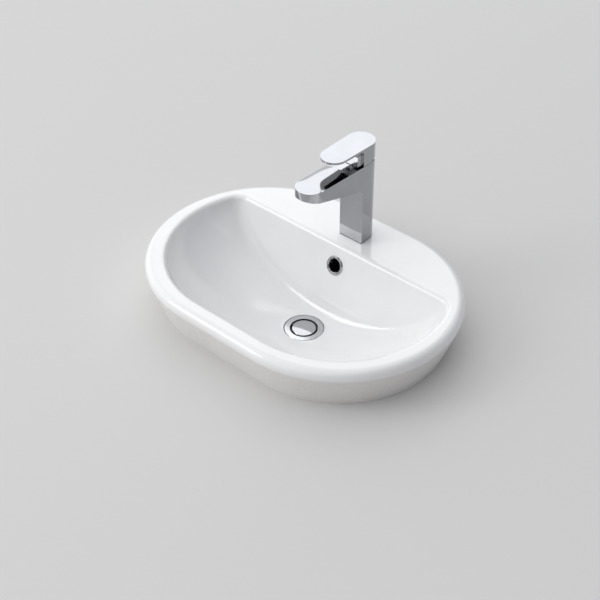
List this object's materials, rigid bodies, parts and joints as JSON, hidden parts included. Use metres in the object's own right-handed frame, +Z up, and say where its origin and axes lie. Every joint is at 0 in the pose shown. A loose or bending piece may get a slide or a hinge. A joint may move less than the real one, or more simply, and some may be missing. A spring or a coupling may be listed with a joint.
{
  "type": "inset basin",
  "caption": "Oval inset basin with a flat tap deck, an overflow, a push plug waste and a single lever mixer with a long flat spout.",
  "frame": {"origin": "on the bench top, under the middle of the basin's outline", "axes": "+Z up, +Y towards the tap deck at the rear, +X to the right of a person standing at the front"},
  "size_m": [0.5, 0.36, 0.359],
  "materials": {
    "glaze": "white glazed fireclay, mirror-smooth on every visible face",
    "chrome": "polished chrome plate over cast brass or zinc",
    "brass": "bare turned brass",
    "rubber": "soft black rubber, matt",
    "white_plastic": "white moulded plastic, satin",
    "black_plastic": "black moulded plastic, satin",
    "grey_plastic": "grey moulded plastic, satin",
    "steel": "plain stainless or zinc-plated steel",
    "disc_ceramic": "lapped alumina ceramic"
  },
  "bodies": {
    "set": {"basin": "glaze", "overflow_trim": "chrome", "waste_body": "chrome", "waste_top_seal": "rubber", "waste_under_gasket": "rubber", "waste_slip_washer": "white_plastic", "waste_backnut": "brass", "click_housing": "grey_plastic", "click_spring": "steel", "tap_base_gasket": "rubber", "tap_body": "chrome", "aerator_housing": "chrome", "aerator_mesh": "white_plastic", "aerator_seal": "rubber", "cartridge_base": "white_plastic", "port_seals": "rubber", "fixed_disc": "disc_ceramic", "cartridge_housing": "black_plastic", "retaining_nut": "brass", "fixing_stud": "steel", "horseshoe_gasket": "rubber", "horseshoe_plate": "steel", "fixing_nut": "brass"},
    "swivel": {"swivel_carrier": "white_plastic", "pivot_pin": "steel"},
    "handle": {"lever_handle": "chrome", "lever_spindle": "brass", "lever_screw": "steel", "index_plug": "chrome"},
    "disc": {"moving_disc": "disc_ceramic", "disc_carrier": "white_plastic"},
    "plug": {"plug_cap": "chrome", "plug_seal": "rubber", "plug_stem": "brass"}
  },
  "joints": [
    {"name": "handle_swivel", "type": "hinge", "parent": "set", "child": "swivel", "pos_m": [0, 0.1249, 0.197], "axis": [0, 0, 1], "range_deg": [-45, 45]},
    {"name": "handle_lift", "type": "hinge", "parent": "swivel", "child": "handle", "pos_m": [0, 0.1249, 0.197], "axis": [-1, 0, 0], "range_deg": [0, 16]},
    {"name": "disc_slide", "type": "slide", "parent": "swivel", "child": "disc", "axis": [0, -1, 0], "range_m": [0, 0.0019]},
    {"name": "plug_slide", "type": "slide", "parent": "set", "child": "plug", "axis": [0, 0, 1], "range_m": [0, 0.008], "deforming": ["click_spring"]}
  ],
  "couplings": [
    {"joint": "disc_slide", "follows": "handle_lift", "m_per_rad": 0.0068}
  ]
}
